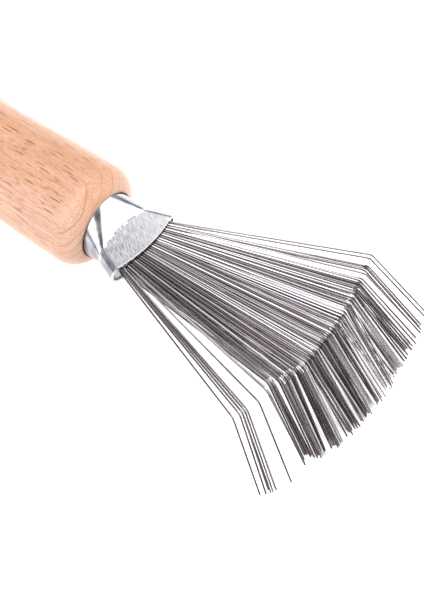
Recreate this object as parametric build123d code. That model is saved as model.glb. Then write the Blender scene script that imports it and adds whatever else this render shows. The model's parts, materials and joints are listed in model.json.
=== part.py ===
from build123d import *
import os
from math import asin, cos, radians, sin, sqrt
from random import Random

# Uncapping fork: a fan of bent steel tines, held in a flattened ferrule on a turned beech handle.
# The origin is the middle of the handle's butt, +X runs along the tool to the tips, +Z is up.

OVERRUN = 4.0  # how far a form runs past the place where it is trimmed

# Handle.
HANDLE_LENGTH = 112.0
GRIP_RADIUS = 14.6
GRIP_LENGTH = 60.0  # straight cylindrical stretch
SHOULDER_RADIUS = 15.4  # fullest part, just behind the rounded front
FRONT_ROUNDING = 6.5
BUTT_ROUNDING = 5.0
FACE_RADIUS = 11.7  # faint turned crease where the rounding meets the front face
BORE_DEPTH = 22.0
BORE_RELIEF = 0.35  # the bore is this much wider at its mouth
RELIEF_DEPTH = 3.0

# Ferrule.
TUBE_RADIUS = 9.8
FERRULE_WALL = 0.7
FERRULE_INSERTION = 18.0
RIDGE_REACH = 6.1  # from the handle's front to the ends of the crease where the flat begins
RIDGE_BOW = 0.8  # how much nearer the handle the crease's middle is
MOUTH_REACH = 15.1  # from the handle's front to the middle of the bowed mouth
MOUTH_WIDTH = 27.2
MOUTH_THICKNESS = 6.0
MOUTH_BOW = 2.0
PRESS_START = -0.3  # from the handle's front to where the round tube begins to close
RIDGE_WIDTH = 21.6
SIDE_ROUNDING = 2.8
ROUND_FLAT = 0.1  # half the flat left at each quarter of the round end

# Filling that grips the tines.
FILLING_RECESS = 0.7
FILLING_BACK = 1.5  # from the handle's front to the filling's rear face
FIT_GAP = 0.02

# Tines.
TINE_DIAMETER = 0.5
FAN_APEX = -13.7  # where the fan's lines meet, from the handle's front
FAN_REACH = 82.6  # apex to bend
EDGE_ANGLE = 25.0  # fan angle of the far right edge, in degrees
EDGE_REACH_GAIN = 2.2  # extra reach there
ROOT_REACH = 7.5  # from the handle's front to the tines' hidden rear ends
ROOT_SPAN = 16.6
ROOT_SHIFT = -0.5  # sideways, because the fan leans to +Y
BEND_RADIUS = 2.4
TIP_LEVEL = -19.0
TIP_RUN = 16.4  # level distance from bend to tip in the middle of the fan
TIP_RUN_SLOPE = 0.115  # growth of that distance per degree of fan
TIP_UNEVENNESS = 0.9  # in length
BEND_STRAY = 0.12  # degrees that a tine's bend strays from its even place in its bunch
STRAY_SEED = 159
SEED_STEP = 1000  # keeps the seeds of neighbouring tines apart
TINES_PER_NODE = 3

# The tines lie in layers, the lowest first.
LAYER_COUNT = 6
LAYER_PITCH_AT_ROOT = 0.68
LAYER_PITCH_AT_BEND = 0.57
LAYER_STAGGER = 0.3  # a higher layer bends this much further out

ALL_LAYERS = (0, 1, 2, 3, 4, 5)
LOW_LAYERS = (0, 1, 2)
HIGH_LAYERS = (3, 4, 5)

# The tines have sprung into bunches. Each row is a bunch: the layers that it is in, its tine count,
# the fan angles of its first and last bend, those of its first and last tip, its extra reach, and
# how many degrees its tips stray.
BUNCHES = (
    (HIGH_LAYERS, 1, -20.0, -20.0, -19.7, -19.7, 0.0, 0.2),
    (HIGH_LAYERS, 6, -18.9, -16.7, -19.1, -16.5, 0.0, 0.2),
    (HIGH_LAYERS, 1, -14.5, -14.5, -14.2, -14.2, 0.0, 0.2),
    (HIGH_LAYERS, 2, -12.2, -11.4, -11.0, -10.2, -1.4, 0.2),
    (ALL_LAYERS, 6, -10.3, -9.2, -9.7, -8.7, -2.6, 0.3),
    (ALL_LAYERS, 16, -8.6, -5.2, -8.3, -6.6, -1.0, 0.12),
    (ALL_LAYERS, 12, -4.8, -2.8, -5.3, -2.9, 0.0, 0.4),
    (ALL_LAYERS, 46, -2.4, 8.4, -1.8, 7.2, 0.0, 0.6),
    (LOW_LAYERS, 9, 9.0, 11.4, 11.0, 12.2, 0.0, 0.15),
    (HIGH_LAYERS, 9, 9.4, 13.4, 8.4, 9.8, 0.0, 0.15),
    (ALL_LAYERS, 17, 13.7, 16.9, 12.6, 15.8, 0.0, 0.35),
    (ALL_LAYERS, 12, 17.2, 19.8, 17.0, 19.6, 0.0, 0.4),
    (HIGH_LAYERS, 1, 20.9, 20.9, 20.8, 20.8, 0.0, 0.0),
    (HIGH_LAYERS, 4, 22.0, 23.4, 21.2, 22.5, 0.0, 0.2),
    (HIGH_LAYERS, 2, 24.6, 25.8, 24.0, 24.9, 0.0, 0.2),
)


def unevenness(number, tip_stray):
    """How far the tine of that number strays: its bend's angle, its tip's angle and its length."""
    chance = Random(SEED_STEP * number + STRAY_SEED)
    return [chance.uniform(-most, most) for most in (BEND_STRAY, tip_stray, TIP_UNEVENNESS)]


def from_front(reach):
    """X of a place given as its distance ahead of the handle's front."""
    return HANDLE_LENGTH + reach


def make_handle():
    """A turned solid with a slight swell at its front, rounded ends and a relieved blind bore."""
    shoulder_x = HANDLE_LENGTH - FRONT_ROUNDING
    centre_r = SHOULDER_RADIUS - FRONT_ROUNDING
    face_x = shoulder_x + sqrt(FRONT_ROUNDING**2 - (FACE_RADIUS - centre_r) ** 2)
    middle_turn = (radians(90) + asin((FACE_RADIUS - centre_r) / FRONT_ROUNDING)) / 2
    front_middle = (
        shoulder_x + FRONT_ROUNDING * cos(middle_turn),
        centre_r + FRONT_ROUNDING * sin(middle_turn),
    )
    butt_flat = GRIP_RADIUS - BUTT_ROUNDING
    relief = TUBE_RADIUS + BORE_RELIEF
    bore_x = HANDLE_LENGTH - BORE_DEPTH
    relief_x = HANDLE_LENGTH - RELIEF_DEPTH
    grip_end = BUTT_ROUNDING + GRIP_LENGTH
    swell = Spline(
        (grip_end, GRIP_RADIUS), (shoulder_x, SHOULDER_RADIUS), tangents=((1, 0), (1, 0))
    )
    outline = [
        Line((0, 0), (0, butt_flat)),
        RadiusArc((0, butt_flat), (BUTT_ROUNDING, GRIP_RADIUS), BUTT_ROUNDING),
        Line((BUTT_ROUNDING, GRIP_RADIUS), (grip_end, GRIP_RADIUS)),
        swell,
        ThreePointArc((shoulder_x, SHOULDER_RADIUS), front_middle, (face_x, FACE_RADIUS)),
        Polyline(
            (face_x, FACE_RADIUS),
            (HANDLE_LENGTH, relief),
            (relief_x, TUBE_RADIUS),
            (bore_x, TUBE_RADIUS),
            (bore_x, 0),
            (0, 0),
        ),
    ]
    return revolve(make_face(outline), Axis.X)


def tube_section(x, half_width, half_height, corner):
    """A closed outline across the tool at x: four straight sides joined by four round corners."""
    outline = []
    for side in range(4):
        along, out = (half_width, half_height) if side % 2 == 0 else (half_height, half_width)
        flat_end = along - corner
        turn = Rot(90 * side, 0, 0)
        slant = corner * sqrt(0.5)
        outline.append(turn * Line((x, -flat_end, out), (x, flat_end, out)))
        corner_middle = (x, flat_end + slant, out - corner + slant)
        corner_end = (x, along, out - corner)
        outline.append(turn * ThreePointArc((x, flat_end, out), corner_middle, corner_end))
    return Face(Wire(outline))


def bow_radius(width, bow):
    """Radius of the arc that rises by bow over that width."""
    return ((width / 2) ** 2 + bow**2) / (2 * bow)


def press_die(inset):
    """What the press tool takes off above the flat: its rear edge bows towards the handle."""
    flat_width = RIDGE_WIDTH - 2 * SIDE_ROUNDING
    radius = bow_radius(flat_width, RIDGE_BOW) + inset
    rear_middle = from_front(RIDGE_REACH - RIDGE_BOW) - inset
    level = MOUTH_THICKNESS / 2 - inset
    base = Pos(rear_middle + radius, 0, level + TUBE_RADIUS / 2)
    return base * Cylinder(radius, TUBE_RADIUS)


def pressed_form(inset, front_trim):
    """The pressed tube's outer form, shrunk by inset, from inside the handle to its bowed mouth."""
    rear = from_front(-FERRULE_INSERTION) - OVERRUN
    press_start = from_front(PRESS_START)
    ridge = from_front(RIDGE_REACH)
    front = from_front(MOUTH_REACH) + OVERRUN
    radius = TUBE_RADIUS - inset
    half_height = MOUTH_THICKNESS / 2 - inset
    half_ridge = RIDGE_WIDTH / 2 - inset
    widening = (MOUTH_WIDTH - RIDGE_WIDTH) / 2 / (MOUTH_REACH - MOUTH_BOW - RIDGE_REACH)
    half_front = half_ridge + widening * (front - ridge)
    corner = SIDE_ROUNDING - inset

    round_end = tube_section(press_start, radius, radius, radius - ROUND_FLAT)
    ridge_end = tube_section(ridge, half_ridge, half_height, corner)
    front_end = tube_section(front, half_front, half_height, corner)
    barrel = Plane.YZ.offset(rear) * Circle(radius)
    pressed = loft([round_end, ridge_end, front_end], ruled=True)
    mouth_radius = bow_radius(MOUTH_WIDTH, MOUTH_BOW) - front_trim
    mouth_centre = from_front(MOUTH_REACH) - front_trim - mouth_radius
    pressed &= Pos(mouth_centre, 0, 0) * Cylinder(mouth_radius, 4 * MOUTH_WIDTH)
    die = press_die(inset)
    pressed -= die
    pressed -= Rot(180, 0, 0) * die
    return extrude(barrel, press_start - rear) + pressed


def ahead_of(solid, x):
    """What of the solid lies ahead of x."""
    reach = 4 * MOUTH_WIDTH
    return solid & Pos(x + reach / 2, 0, 0) * Box(reach, reach, reach)


def make_ferrule():
    """A tube, round in the handle and pressed flat at its mouth."""
    outer = ahead_of(pressed_form(0, 0), from_front(-FERRULE_INSERTION))
    return outer - pressed_form(FERRULE_WALL, -FERRULE_WALL)


def make_filling(tine_bores):
    """The plug in the ferrule's mouth, with a bore for each tine."""
    plug = pressed_form(FERRULE_WALL + FIT_GAP, FILLING_RECESS)
    return ahead_of(plug, from_front(FILLING_BACK)) - tine_bores


def tine_layout():
    """The bunches' tines, layer by layer from left to right, each as its three corners."""
    placed = {layer: [] for layer in ALL_LAYERS}
    number = 0
    for layers, count, bend_first, bend_last, tip_first, tip_last, extra_reach, stray in BUNCHES:
        for place in range(count):
            share = (place + 0.5) / count
            bend_stray, tip_stray, length_stray = unevenness(number, stray)
            bend_angle = bend_first + (bend_last - bend_first) * share + bend_stray
            tip_angle = tip_first + (tip_last - tip_first) * share + tip_stray
            layer = layers[number % len(layers)]
            placed[layer].append((bend_angle, tip_angle, extra_reach, length_stray))
            number += 1
    return {
        layer: [tine_corners(layer, rank, len(tines), *tine) for rank, tine in enumerate(tines)]
        for layer, tines in placed.items()
    }


def tine_corners(layer, rank, layer_count, bend_angle, tip_angle, extra_reach, length_stray):
    """The hidden root, the bend and the tip of one tine, as points on its centre line."""
    height = layer - (LAYER_COUNT - 1) / 2
    edge_share = max(0.0, bend_angle / EDGE_ANGLE) ** 2
    reach = FAN_REACH + extra_reach + EDGE_REACH_GAIN * edge_share + LAYER_STAGGER * height
    tip_reach = reach + TIP_RUN + TIP_RUN_SLOPE * bend_angle
    apex_x = from_front(FAN_APEX)
    root_y = ROOT_SHIFT + ROOT_SPAN * ((rank + 0.5) / layer_count - 0.5)
    root = Vector(from_front(ROOT_REACH), root_y, height * LAYER_PITCH_AT_ROOT)
    bend_turn = radians(bend_angle)
    bend = Vector(
        apex_x + reach * cos(bend_turn), reach * sin(bend_turn), height * LAYER_PITCH_AT_BEND
    )
    tip_turn = radians(tip_angle)
    full_tip = Vector(
        apex_x + tip_reach * cos(tip_turn),
        tip_reach * sin(tip_turn),
        TIP_LEVEL + height * LAYER_PITCH_AT_BEND,
    )
    tip = full_tip + (full_tip - bend).normalized() * length_stray
    return root, bend, tip


def make_tine(root, bend, tip):
    """One round wire with its single small bend."""
    path = FilletPolyline(root, bend, tip, radius=BEND_RADIUS)
    section = Plane(origin=root, z_dir=(bend - root)) * Circle(TINE_DIAMETER / 2)
    return sweep(section, path=path)


def make_tine_bore(root, bend):
    """The straight bore that a tine fills, running out past the mouth."""
    direction = (bend - root).normalized()
    length = MOUTH_REACH - ROOT_REACH + OVERRUN
    section = Plane(origin=root, z_dir=direction) * Circle(TINE_DIAMETER / 2)
    return extrude(section, length, dir=direction)


def write(name, shape):
    export_step(shape, f"parts/{name}.step")


def main():
    os.makedirs("parts", exist_ok=True)
    layout = tine_layout()
    bores = [make_tine_bore(root, bend) for tines in layout.values() for root, bend, tip in tines]
    write("handle", make_handle())
    write("ferrule", make_ferrule())
    write("mouth_filling", make_filling(bores))
    for layer, tines in layout.items():
        for first in range(0, len(tines), TINES_PER_NODE):
            group = [make_tine(*corners) for corners in tines[first : first + TINES_PER_NODE]]
            write(f"layer_{layer + 1}_tines_{first // TINES_PER_NODE + 1:02d}", Compound(group))


main()
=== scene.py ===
import json
from math import cos, radians

import bpy
from mathutils import Matrix, Vector


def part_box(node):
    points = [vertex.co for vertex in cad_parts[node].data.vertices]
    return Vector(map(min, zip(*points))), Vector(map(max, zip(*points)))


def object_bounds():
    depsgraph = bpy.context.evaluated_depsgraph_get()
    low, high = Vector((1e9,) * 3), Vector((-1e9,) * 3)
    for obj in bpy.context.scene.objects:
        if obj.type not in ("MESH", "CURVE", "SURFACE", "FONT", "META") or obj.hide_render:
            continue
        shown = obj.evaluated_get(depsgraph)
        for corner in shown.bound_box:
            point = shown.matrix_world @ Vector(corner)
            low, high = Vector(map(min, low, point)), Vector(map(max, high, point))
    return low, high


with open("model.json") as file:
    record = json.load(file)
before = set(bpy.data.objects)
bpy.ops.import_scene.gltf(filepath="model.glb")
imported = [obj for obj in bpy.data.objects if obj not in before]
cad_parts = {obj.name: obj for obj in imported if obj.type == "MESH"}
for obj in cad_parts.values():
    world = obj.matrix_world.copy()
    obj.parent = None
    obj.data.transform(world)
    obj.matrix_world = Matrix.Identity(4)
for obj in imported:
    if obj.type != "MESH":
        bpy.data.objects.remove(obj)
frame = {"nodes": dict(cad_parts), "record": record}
cad_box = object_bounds()

# Uncapping fork: materials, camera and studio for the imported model. Lengths are in metres. The tool lies
# along +X with its tips ahead, and the origin is the middle of the handle's butt.

handle_low, handle_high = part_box("handle")
ferrule_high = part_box("ferrule")[1]
HANDLE_FRONT = Vector((handle_high.x, 0, 0))
HANDLE_THICKNESS = handle_high.z - handle_low.z
FERRULE_RADIUS = ferrule_high.z  # of its round tube
MOUTH_X = ferrule_high.x
MOUTH_HALF_WIDTH = ferrule_high.y

AXIS = Vector((0, 0, 0))  # a point on the tool's axis
ACROSS = (0, 1, 1)  # keeps only the part of a vector that lies across the tool
LEVEL = (1, 1, 0)  # keeps only the part of a vector that is level


# The camera stands off the middle of the handle's front end, by multiples of the handle's thickness.
CAMERA_OFFSET = Vector((4.553, -5.294, 8.277)) * HANDLE_THICKNESS
VIEW_DIRECTION = Vector((-0.3207, 0.5052, -0.8012))
IMAGE_RIGHT = Vector((0.7998, 0.5976, 0.0567))
SENSOR_HEIGHT = 36.0  # this and the lens are in millimetres
LENS = 72.0
NEAREST_SEEN = 0.01


def make_camera():
    data = bpy.data.cameras.new("camera")
    data.sensor_fit = "VERTICAL"
    data.sensor_height = SENSOR_HEIGHT
    data.lens = LENS
    data.clip_start = NEAREST_SEEN
    camera = bpy.data.objects.new("camera", data)
    back = -VIEW_DIRECTION.normalized()
    up = back.cross(IMAGE_RIGHT).normalized()
    right = up.cross(back)
    turn = Matrix((right, up, back)).transposed()
    camera.matrix_world = Matrix.Translation(HANDLE_FRONT + CAMERA_OFFSET) @ turn.to_4x4()
    bpy.context.scene.collection.objects.link(camera)
    bpy.context.scene.camera = camera


# Helpers that add nodes to a tree. A pattern's scale is how many of its features fit in a metre along
# X, Y and Z.
NOISE_SPREAD = (0.3, 0.7)  # most of a noise's values lie between these


def principled(name):
    """A new material, its node tree and its Principled shader."""
    material = bpy.data.materials.new(name)
    material.use_nodes = True
    return material, material.node_tree, material.node_tree.nodes["Principled BSDF"]


def set_finish(shader, finish):
    """Sets what is the same all over the surface."""
    for socket, value in finish.items():
        shader.inputs[socket].default_value = value


def link(tree, source, target):
    tree.links.new(source, target)


def coordinates(tree, kind):
    return tree.nodes.new("ShaderNodeTexCoord").outputs[kind]


def separate(tree, vector):
    """The X, Y and Z of a vector."""
    parts = tree.nodes.new("ShaderNodeSeparateXYZ")
    link(tree, vector, parts.inputs["Vector"])
    return parts.outputs


def object_place(tree):
    """X, Y and Z of the surface point."""
    return separate(tree, coordinates(tree, "Object"))


def surface_facing(tree):
    """X, Y and Z of the direction that the surface faces."""
    return separate(tree, coordinates(tree, "Normal"))


def texture_space(tree, scale, turn=0.0):
    """Object coordinates, turned about the vertical and then scaled along each axis."""
    turned = tree.nodes.new("ShaderNodeMapping")
    turned.inputs["Rotation"].default_value = (0, 0, turn)
    link(tree, coordinates(tree, "Object"), turned.inputs["Vector"])
    scaled = tree.nodes.new("ShaderNodeMapping")
    scaled.inputs["Scale"].default_value = scale
    link(tree, turned.outputs["Vector"], scaled.inputs["Vector"])
    return scaled.outputs["Vector"]


def noise(tree, vector, detail=2.0, roughness=0.5):
    made = tree.nodes.new("ShaderNodeTexNoise")
    made.inputs["Scale"].default_value = 1.0
    made.inputs["Detail"].default_value = detail
    made.inputs["Roughness"].default_value = roughness
    link(tree, vector, made.inputs["Vector"])
    return made.outputs["Fac"]


def remap(tree, value, low, high, to_low=0.0, to_high=1.0, smooth=False):
    made = tree.nodes.new("ShaderNodeMapRange")
    made.interpolation_type = "SMOOTHSTEP" if smooth else "LINEAR"
    made.inputs["From Min"].default_value = low
    made.inputs["From Max"].default_value = high
    made.inputs["To Min"].default_value = to_low
    made.inputs["To Max"].default_value = to_high
    link(tree, value, made.inputs["Value"])
    return made.outputs["Result"]


def combine(tree, operation, first, second=0.0):
    """A maths node whose operands are sockets or numbers."""
    made = tree.nodes.new("ShaderNodeMath")
    made.operation = operation
    for place, operand in enumerate((first, second)):
        if isinstance(operand, (int, float)):
            made.inputs[place].default_value = operand
        else:
            link(tree, operand, made.inputs[place])
    return made.outputs["Value"]


def combine_vector(tree, operation, vector, constant=(0, 0, 0)):
    """A maths node that works on a vector and a constant one."""
    made = tree.nodes.new("ShaderNodeVectorMath")
    made.operation = operation
    made.inputs[1].default_value = constant
    link(tree, vector, made.inputs[0])
    return made.outputs


def distance_from(tree, point, plane):
    """How far the surface point is from another point, measured in the plane ACROSS or LEVEL."""
    offset = combine_vector(tree, "SUBTRACT", coordinates(tree, "Object"), point)["Vector"]
    within_plane = combine_vector(tree, "MULTIPLY", offset, plane)["Vector"]
    return combine_vector(tree, "LENGTH", within_plane)["Value"]


def blend_numbers(tree, share, first, second):
    """Mixes two number sockets by a share from 0 to 1."""
    made = tree.nodes.new("ShaderNodeMix")
    link(tree, share, made.inputs["Factor"])
    link(tree, first, made.inputs["A"])
    link(tree, second, made.inputs["B"])
    return made.outputs["Result"]


def blend_colour(tree, share, first, second):
    """Mixes two colours, each a tuple or a socket, by a share from 0 to 1."""
    made = tree.nodes.new("ShaderNodeMix")
    made.data_type = "RGBA"
    link(tree, share, made.inputs["Factor"])
    for name, colour in (("A", first), ("B", second)):
        socket = next(i for i in made.inputs if i.name == name and i.type == "RGBA")
        if isinstance(colour, tuple):
            socket.default_value = (*colour, 1)
        else:
            link(tree, colour, socket)
    return next(o for o in made.outputs if o.type == "RGBA")


def add_bump(tree, shader, height, distance, strength):
    bump = tree.nodes.new("ShaderNodeBump")
    bump.inputs["Distance"].default_value = distance
    bump.inputs["Strength"].default_value = strength
    link(tree, height, bump.inputs["Height"])
    link(tree, bump.outputs["Normal"], shader.inputs["Normal"])


# Beech. The log's centre lies beside the handle, so the growth rings cross it as gentle arcs.
LOG_CENTRE = Vector((0, 0.045, -0.06))
RING_SPACING = 0.0026
RING_WAVINESS = 1.8  # in rings

RING_WAVE_SCALE = (18, 70, 70)
BAND_SCALE = (14, 110, 110)
MOTTLE_SCALE = (800, 1800, 1800)
GRAIN_SCALE = (45, 2300, 2300)
PORE_SCALE = (520, 2800, 2800)

# Ray flecks, the long ones and the short ones: their scale, and a fleck's size as a share of its cell.
FLECKS = (((125, 1350, 1350), 0.32), ((220, 2000, 2000), 0.27))
FLECK_CORE = 0.6  # share of a fleck's size that is fully dark
FLECK_CHANCE = (0.3, 0.6)  # a cell with a lower chance has no fleck, and one with a higher has a whole one

# How squarely a surface faces along the handle where it stops being side grain and is all end grain.
END_GRAIN = (0.1, 0.5)
FLECKLESS = (0.05, 0.35)  # the same, for where the flecks begin to fade and are gone

# The painted shadow round the bore, where the ferrule meets the wood, and how far behind the handle's
# front it starts and is whole.
RIM_SHADOW_WIDTH = 0.0005
RIM_SHADOW_FADE = 0.0004
RIM_SHADOW_DEPTHS = (0.004, 0.003)
RIM_SHADOW_STRENGTH = 0.9

HONEY = (0.450, 0.234, 0.128)
PINK = (0.500, 0.300, 0.212)
PALE_MOTTLE = (0.62, 0.43, 0.35)
RING_BROWN = (0.36, 0.165, 0.09)
GRAIN_BROWN = (0.33, 0.15, 0.083)
PORE_BROWN = (0.27, 0.118, 0.063)
FLECK_BROWN = (0.22, 0.08, 0.03)
# Colour of the painted shadow round the bore.
RIM_SHADOW_BROWN = (0.24, 0.12, 0.075)

PORE_DEPTH = 0.00008
BEECH_FINISH = {
    "Roughness": 0.46,
    "IOR": 1.45,
    "Coat Weight": 0.25,
    "Coat Roughness": 0.3,
    "Sheen Weight": 0.6,
    "Sheen Roughness": 0.3,
    "Sheen Tint": (1.0, 0.86, 0.82, 1),
}


def growth_rings(tree):
    """Distance from the log's centre in rings, made a little wavy: 0 to 1 across each ring."""
    rings = combine(tree, "DIVIDE", distance_from(tree, LOG_CENTRE, ACROSS), RING_SPACING)
    waves = noise(tree, texture_space(tree, RING_WAVE_SCALE))
    rings = combine(tree, "ADD", rings, combine(tree, "MULTIPLY", waves, RING_WAVINESS))
    return combine(tree, "FRACT", rings)


def ray_flecks(tree, scale, size):
    """Thin spindle-shaped marks lying along the handle, missing here and there."""
    cells = tree.nodes.new("ShaderNodeTexVoronoi")
    cells.inputs["Scale"].default_value = 1.0
    cells.inputs["Randomness"].default_value = 1.0
    link(tree, texture_space(tree, scale), cells.inputs["Vector"])
    mark = remap(tree, cells.outputs["Distance"], size, size * FLECK_CORE, smooth=True)
    chance = separate(tree, cells.outputs["Color"])["X"]
    return combine(tree, "MULTIPLY", mark, remap(tree, chance, *FLECK_CHANCE))


def side_flecks(tree, end_grain):
    """The long and the short ray flecks together, which the end grain doesn't show."""
    long_flecks, short_flecks = [ray_flecks(tree, *kind) for kind in FLECKS]
    flecks = combine(tree, "MAXIMUM", long_flecks, short_flecks)
    return combine(tree, "MULTIPLY", flecks, remap(tree, end_grain, *FLECKLESS, 0.95, 0.0))


def beech_ground(tree):
    """Soft bands of honey and pink, faintly mottled."""
    bands = noise(tree, texture_space(tree, BAND_SCALE), detail=3)
    mottling = noise(tree, texture_space(tree, MOTTLE_SCALE), detail=3, roughness=0.6)
    colour = blend_colour(tree, remap(tree, bands, 0.35, 0.65, smooth=True), HONEY, PINK)
    mottle_share = remap(tree, mottling, 0.45, 0.65, 0.0, 0.3, smooth=True)
    return blend_colour(tree, mottle_share, colour, PALE_MOTTLE)


def beech_lines(tree, colour, end_grain, pores):
    """Draws growth rings, strongest on the end grain, then the fine grain and the open pores."""
    ring_lines = remap(tree, growth_rings(tree), 0.82, 0.97)
    ring_strength = remap(tree, end_grain, *END_GRAIN, 0.35, 1.0)
    ring_share = combine(tree, "MULTIPLY", ring_lines, ring_strength)
    colour = blend_colour(tree, ring_share, colour, RING_BROWN)
    grain = noise(tree, texture_space(tree, GRAIN_SCALE), detail=3, roughness=0.65)
    colour = blend_colour(tree, remap(tree, grain, 0.54, 0.32, 0.0, 0.7), colour, GRAIN_BROWN)
    pore_strength = remap(tree, end_grain, *END_GRAIN, 0.5, 0.15)
    pore_share = combine(tree, "MULTIPLY", remap(tree, pores, 0.50, 0.28), pore_strength)
    return blend_colour(tree, pore_share, colour, PORE_BROWN)


def painted_bore_shadow(tree):
    """How strongly painted shadow darkens the bore's rim, on the handle's front only."""
    from_axis = distance_from(tree, AXIS, ACROSS)
    edge = FERRULE_RADIUS + RIM_SHADOW_WIDTH
    near_bore = remap(tree, from_axis, edge, edge + RIM_SHADOW_FADE, RIM_SHADOW_STRENGTH, 0.0, smooth=True)
    start, whole = [HANDLE_FRONT.x - depth for depth in RIM_SHADOW_DEPTHS]
    at_front = remap(tree, object_place(tree)["X"], start, whole)
    return combine(tree, "MULTIPLY", near_bore, at_front)


def make_beech():
    """Pale pinkish beech: soft bands, growth rings, fine grain, and short brown ray flecks."""
    material, tree, shader = principled("beech")
    set_finish(shader, BEECH_FINISH)
    end_grain = combine(tree, "ABSOLUTE", surface_facing(tree)["X"])
    pores = noise(tree, texture_space(tree, PORE_SCALE), roughness=0.7)
    flecks = side_flecks(tree, end_grain)
    colour = beech_lines(tree, beech_ground(tree), end_grain, pores)
    colour = blend_colour(tree, flecks, colour, FLECK_BROWN)
    # Painted shadow along the joint between bore and ferrule.
    colour = blend_colour(tree, painted_bore_shadow(tree), colour, RIM_SHADOW_BROWN)
    link(tree, colour, shader.inputs["Base Color"])
    sunken = combine(tree, "MAXIMUM", flecks, remap(tree, pores, 0.45, 0.22))
    add_bump(tree, shader, combine(tree, "SUBTRACT", 1.0, sunken), PORE_DEPTH, 0.6)
    return material


# Tines. A layer's painted shade multiplies the colours of its tines' shanks, darker on the lower layers
# that the upper ones shade; the lowest layer comes first.
LAYER_PAINTED_SHADES = (0.74, 0.8, 0.87, 0.97, 1.08, 1.2)
TIP_LEVELS = (-0.003, -0.009)  # heights between which a tine's shank gives way to its tip
# Painted light and shade in the tines' tone across the fan: where along Y a change starts and ends, and
# how much it is.
SIDE_PAINTED_LIGHT = ((-0.013, -0.019, -0.55), (0.004, 0.014, 0.18), (0.020, 0.028, -0.6))

SCORING_SCALE = (40, 3000, 200)
SHANK_COLOURS = ((0.142, 0.121, 0.121), (0.41, 0.400, 0.425))
# Painted shade and painted highlights of the tips: darker dull tines and brighter glinting ones than on
# the shanks.
TIP_SHADE_AND_HIGHLIGHT_COLOURS = ((0.09, 0.072, 0.074), (0.62, 0.60, 0.63))
SCORING_CONTRAST = 0.06
TINE_ROUGHNESS = (0.14, 0.24)


def shaded(colour, painted_shade):
    """The colour made darker or paler by a layer's painted shade."""
    return tuple(part * painted_shade for part in colour)


def make_tine_steel(name, painted_shade):
    """Drawn wire of one layer, darkened or paled by that layer's painted shade, paler on some tines than
    on others and finely scored lengthways.
    """
    material, tree, shader = principled(name)
    set_finish(shader, {"Metallic": 1.0})
    place = object_place(tree)
    each_tine = tree.nodes.new("ShaderNodeNewGeometry").outputs["Random Per Island"]
    scoring = noise(tree, texture_space(tree, SCORING_SCALE))
    score_marks = remap(tree, scoring, *NOISE_SPREAD, -SCORING_CONTRAST, SCORING_CONTRAST)
    tone_and_painted_light = combine(tree, "ADD", each_tine, score_marks)
    # Painted light and shade across the fan: duller on its left, paler right of the middle, duller again
    # at the far right.
    for start, end, gain in SIDE_PAINTED_LIGHT:
        tone_and_painted_light = combine(tree, "ADD", tone_and_painted_light, remap(tree, place["Y"], start, end, 0.0, gain, smooth=True))
    # The layer's painted shade darkens the lower layers, where the layers above shade them.
    dark, pale = [shaded(colour, painted_shade) for colour in SHANK_COLOURS]
    shank = blend_colour(tree, remap(tree, tone_and_painted_light, 0.2, 0.8, smooth=True), dark, pale)
    # The tips get painted shade on their dull tines and painted highlights on their pale ones.
    tip = blend_colour(tree, remap(tree, tone_and_painted_light, 0.25, 0.85), *TIP_SHADE_AND_HIGHLIGHT_COLOURS)
    colour = blend_colour(tree, remap(tree, place["Z"], *TIP_LEVELS, smooth=True), shank, tip)
    link(tree, colour, shader.inputs["Base Color"])
    link(tree, remap(tree, scoring, *NOISE_SPREAD, *TINE_ROUGHNESS), shader.inputs["Roughness"])
    return material


# Ferrule. The crease where its flat begins and its mouth are level arcs, bowed towards and away from
# the handle.
FLAT_LENGTH = 0.0099  # from the middle of the crease to the middle of the mouth
CREASE_HALF_WIDTH = 0.0080
CREASE_BOW = 0.0008
MOUTH_BOW = 0.0020
CREASE_FADE = 0.0001  # over which the plain zinc gives way to the brushed flat, to either side
# Near the crease the zinc is painted brighter, partly as rubbed bright metal and partly as a painted
# highlight along the crease.
CREASE_HIGHLIGHT_REACH = (0.0006, 0.0001)  # distances from the crease at which it starts to shine and shines fully
LIP_WIDTHS = (0.0003, 0.00024)  # of the grey lip along the mouth, with its soft edge and without
BRUSH_SCALE = (450, 4000, 4000)
BRUSH_TURN = radians(28)
CLOUD_SCALE = (260, 260, 260)
CRUMPLE_SCALE = (900, 900, 900)
PALER_SIDE = (-0.004, 0.010)  # where along Y the flat starts and stops growing paler

ZINC_COLOURS = ((0.21, 0.22, 0.245), (0.46, 0.465, 0.49))
BRUSHED_COLOURS = ((0.21, 0.205, 0.222), (0.52, 0.515, 0.535))
PALE_FLAT = (0.75, 0.745, 0.77)
# Colour of the crease's rubbed metal and painted highlight.
CREASE_HIGHLIGHT_WHITE = (0.90, 0.90, 0.93)
LIP_GREY = (0.62, 0.62, 0.64)
POLISHED_ROUGHNESS = (0.14, 0.26)
MATTE_ROUGHNESS = (0.36, 0.52)
DENT_DEPTH = 0.00006
DENT_SHARES = (0.12, 1.0)  # of that depth, away from the crease and along it


def bow_radius(half_width, bow):
    """Radius of the arc that rises by bow over that half-width."""
    return (half_width**2 + bow**2) / (2 * bow)


def within_arc(tree, radius, centre_x):
    """How far inside a level arc the surface point lies; outside it the number is negative."""
    return combine(tree, "SUBTRACT", radius, distance_from(tree, (centre_x, 0, 0), LEVEL))


def inside_crease(tree):
    """How far ahead of the crease the surface point lies."""
    radius = bow_radius(CREASE_HALF_WIDTH, CREASE_BOW)
    return within_arc(tree, radius, MOUTH_X - FLAT_LENGTH + radius)


def inside_mouth(tree):
    """How far behind the mouth's edge the surface point lies."""
    radius = bow_radius(MOUTH_HALF_WIDTH, MOUTH_BOW)
    return within_arc(tree, radius, MOUTH_X - radius)


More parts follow.
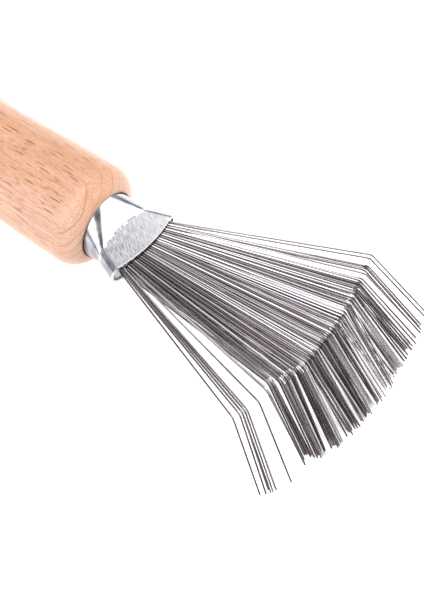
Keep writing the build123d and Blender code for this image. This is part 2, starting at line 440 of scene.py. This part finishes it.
def on_flat(tree, ahead):
    """1 on the pressed flat, above and below, and 0 elsewhere."""
    levelness = combine(tree, "ABSOLUTE", surface_facing(tree)["Z"])
    past_crease = remap(tree, ahead, -CREASE_FADE, CREASE_FADE)
    return combine(tree, "MULTIPLY", past_crease, remap(tree, levelness, 0.95, 0.99))


def brushed_zinc(tree, brushing):
    """The flat's colour, paler towards its far side."""
    brushed = blend_colour(tree, remap(tree, brushing, 0.38, 0.62), *BRUSHED_COLOURS)
    paler_share = remap(tree, object_place(tree)["Y"], *PALER_SIDE, 0.0, 0.35)
    return blend_colour(tree, paler_share, brushed, PALE_FLAT)


def make_ferrule_steel():
    """Zinc-plated tube: polished where it closes, matte and brushed on the pressed flat."""
    material, tree, shader = principled("ferrule_steel")
    set_finish(shader, {"Metallic": 1.0})
    ahead = inside_crease(tree)
    flat_share = on_flat(tree, ahead)
    brushing = noise(tree, texture_space(tree, BRUSH_SCALE, BRUSH_TURN), detail=3)
    clouds = noise(tree, texture_space(tree, CLOUD_SCALE), detail=3)
    crumple = noise(tree, texture_space(tree, CRUMPLE_SCALE))

    near_crease = remap(tree, combine(tree, "ABSOLUTE", ahead), *CREASE_HIGHLIGHT_REACH)
    crease_wear_and_highlight = combine(tree, "MULTIPLY", near_crease, remap(tree, crumple, 0.4, 0.6))
    lip = remap(tree, inside_mouth(tree), *LIP_WIDTHS)
    plain = blend_colour(tree, remap(tree, clouds, *NOISE_SPREAD), *ZINC_COLOURS)
    colour = blend_colour(tree, flat_share, plain, brushed_zinc(tree, brushing))
    # Painted highlight along the crease, partly rubbed bright metal.
    colour = blend_colour(tree, crease_wear_and_highlight, colour, CREASE_HIGHLIGHT_WHITE)
    colour = blend_colour(tree, lip, colour, LIP_GREY)
    link(tree, colour, shader.inputs["Base Color"])

    polished = remap(tree, clouds, *NOISE_SPREAD, *POLISHED_ROUGHNESS)
    matte = remap(tree, brushing, *NOISE_SPREAD, *MATTE_ROUGHNESS)
    link(tree, blend_numbers(tree, flat_share, polished, matte), shader.inputs["Roughness"])
    flat_relief = combine(tree, "MULTIPLY", brushing, flat_share)
    dents = combine(tree, "MULTIPLY", crumple, remap(tree, crease_wear_and_highlight, 0.0, 1.0, *DENT_SHARES))
    add_bump(tree, shader, combine(tree, "ADD", flat_relief, dents), DENT_DEPTH, 0.7)
    return material


# Filling.
GRIT_SCALE = (2500, 2500, 2500)
GRIT_DEPTH = 0.0002
FILLING_COLOURS = ((0.50, 0.49, 0.475), (0.68, 0.665, 0.65))


def make_filling():
    """Dull pale grey set filling with a grainy surface."""
    material, tree, shader = principled("filling")
    set_finish(shader, {"Roughness": 0.75})
    grit = noise(tree, texture_space(tree, GRIT_SCALE), detail=3)
    colour = blend_colour(tree, remap(tree, grit, 0.35, 0.65), *FILLING_COLOURS)
    link(tree, colour, shader.inputs["Base Color"])
    add_bump(tree, shader, grit, GRIT_DEPTH, 0.6)
    return material


# What is done to the CAD nodes.
BROKEN_EDGE = 0.00012
SHARPEST_KEPT = radians(35)


def paint(name, material):
    """Gives a CAD node its material."""
    for slot in frame["nodes"][name].material_slots:
        slot.material = material


def soften_edges(name):
    """Breaks the sharp edges of a CAD node's surface, so that they catch the light."""
    bevel = frame["nodes"][name].modifiers.new("soft_edges", "BEVEL")
    bevel.width = BROKEN_EDGE
    bevel.segments = 2
    bevel.limit_method = "ANGLE"
    bevel.angle_limit = SHARPEST_KEPT
    bevel.harden_normals = True


# The floor.
FLOOR_HALF_WIDTH = 12.0
LOWEST_TIP_INSET = 0.003  # from the foremost tip back to the lowest one
FLOOR_FINISH = {
    "Base Color": (0.94, 0.94, 0.94, 1),
    "Roughness": 0.9,
    "Emission Color": (1, 1, 1, 1),
    "Emission Strength": 0.4,
}


def grip_underside():
    """The lowest point of the grip's rear end."""
    grip = next(mount for mount in frame["record"]["mounts"] if mount["name"] == "handle_grip")
    half_length = grip["dims"]["length_mm"] / 2 / 1000
    radius = grip["dims"]["r_mm"] / 1000
    return Vector(grip["pos_m"]) - Vector((half_length, 0, radius))


def make_floor():
    """A pale floor, tilted so that it touches both the lowest tips and the grip's rear end."""
    low, high = Vector(cad_box[0]), Vector(cad_box[1])
    lowest_tip = Vector((high.x - LOWEST_TIP_INSET, 0, low.z))
    along = (lowest_tip - grip_underside()).normalized() * FLOOR_HALF_WIDTH
    sideways = Vector((0, FLOOR_HALF_WIDTH, 0))
    corners = [
        lowest_tip + along * ahead + sideways * left
        for ahead, left in ((-1, -1), (1, -1), (1, 1), (-1, 1))
    ]
    mesh = bpy.data.meshes.new("floor")
    mesh.from_pydata(corners, [], [(0, 1, 2, 3)])
    floor = bpy.data.objects.new("floor", mesh)
    bpy.context.scene.collection.objects.link(floor)
    material, _, shader = principled("floor")
    set_finish(shader, FLOOR_FINISH)
    mesh.materials.append(material)


# The studio: a strip light over the tool, round soft panels, and a glow along the horizon. Each panel is
# where it stands, as a direction, its half-width and the softness of its edge in degrees, and its
# brightness. Each edge of the strip is where along an axis its light starts and where it is full.
PANELS = (
    ((0.80, 0.46, 0.38), 20, 6, 4.4),
    ((-0.35, 0.50, 0.79), 34, 14, 0.45),
    ((-0.75, -0.35, 0.50), 34, 14, 0.4),
    ((0.00, 1.00, 0.06), 12, 6, 2.0),
)
STRIP_EDGES = (("X", -0.40, -0.20), ("X", 0.44, 0.30), ("Y", 0.68, 0.40), ("Z", 0.08, 0.28))
STRIP_BRIGHTNESS = 3.9
STRIP_NEAR_FADE = (-0.9, -0.3)  # where along Y it dims towards its near end
STRIP_NEAR_SHARE = 0.7  # of its brightness that is left there
HORIZON_EDGE = (0.12, 0.02)
HORIZON_BRIGHTNESS = 0.6
ROOM_BRIGHTNESS = 0.45


def strip_light(tree, parts):
    """The strip's glow: it runs across the tool, from low on the near side to past straight overhead."""
    glow = remap(tree, parts["Y"], *STRIP_NEAR_FADE, STRIP_NEAR_SHARE, 1.0)
    for axis, outer, inner in STRIP_EDGES:
        glow = combine(tree, "MULTIPLY", glow, remap(tree, parts[axis], outer, inner, smooth=True))
    return combine(tree, "MULTIPLY", glow, STRIP_BRIGHTNESS)


def panel_light(tree, direction, middle, half_width, edge, brightness):
    """The glow of one round panel."""
    nearness = combine_vector(tree, "DOT_PRODUCT", direction, Vector(middle).normalized())["Value"]
    outer = cos(radians(half_width + edge))
    inner = cos(radians(half_width - edge))
    return remap(tree, nearness, outer, inner, 0, brightness, smooth=True)


def make_world():
    """A plain grey room with soft bright lights."""
    world = bpy.data.worlds.new("studio")
    world.use_nodes = True
    tree = world.node_tree
    direction = coordinates(tree, "Generated")
    parts = separate(tree, direction)
    horizon = remap(tree, parts["Z"], *HORIZON_EDGE, 0.0, HORIZON_BRIGHTNESS, smooth=True)
    total = combine(tree, "ADD", strip_light(tree, parts), ROOM_BRIGHTNESS)
    total = combine(tree, "ADD", horizon, total)
    for panel in PANELS:
        total = combine(tree, "ADD", panel_light(tree, direction, *panel), total)
    background = tree.nodes["Background"]
    link(tree, total, background.inputs["Strength"])
    background.inputs["Color"].default_value = (1, 1, 1, 1)
    bpy.context.scene.world = world
    bpy.context.scene.view_settings.view_transform = "Standard"


make_camera()
make_world()
make_floor()
beech = make_beech()
# One steel per layer, each a copy with its own painted shade.
layer_shaded_steel = [
    make_tine_steel(f"tine_steel_{number}", painted_shade) for number, painted_shade in enumerate(LAYER_PAINTED_SHADES, 1)
]
ferrule_steel = make_ferrule_steel()
filling = make_filling()
for name in frame["nodes"]:
    if "_tines_" in name:
        layer_number = int(name.split("_")[1])
        paint(name, layer_shaded_steel[layer_number - 1])
paint("handle", beech)
paint("ferrule", ferrule_steel)
paint("mouth_filling", filling)
soften_edges("ferrule")
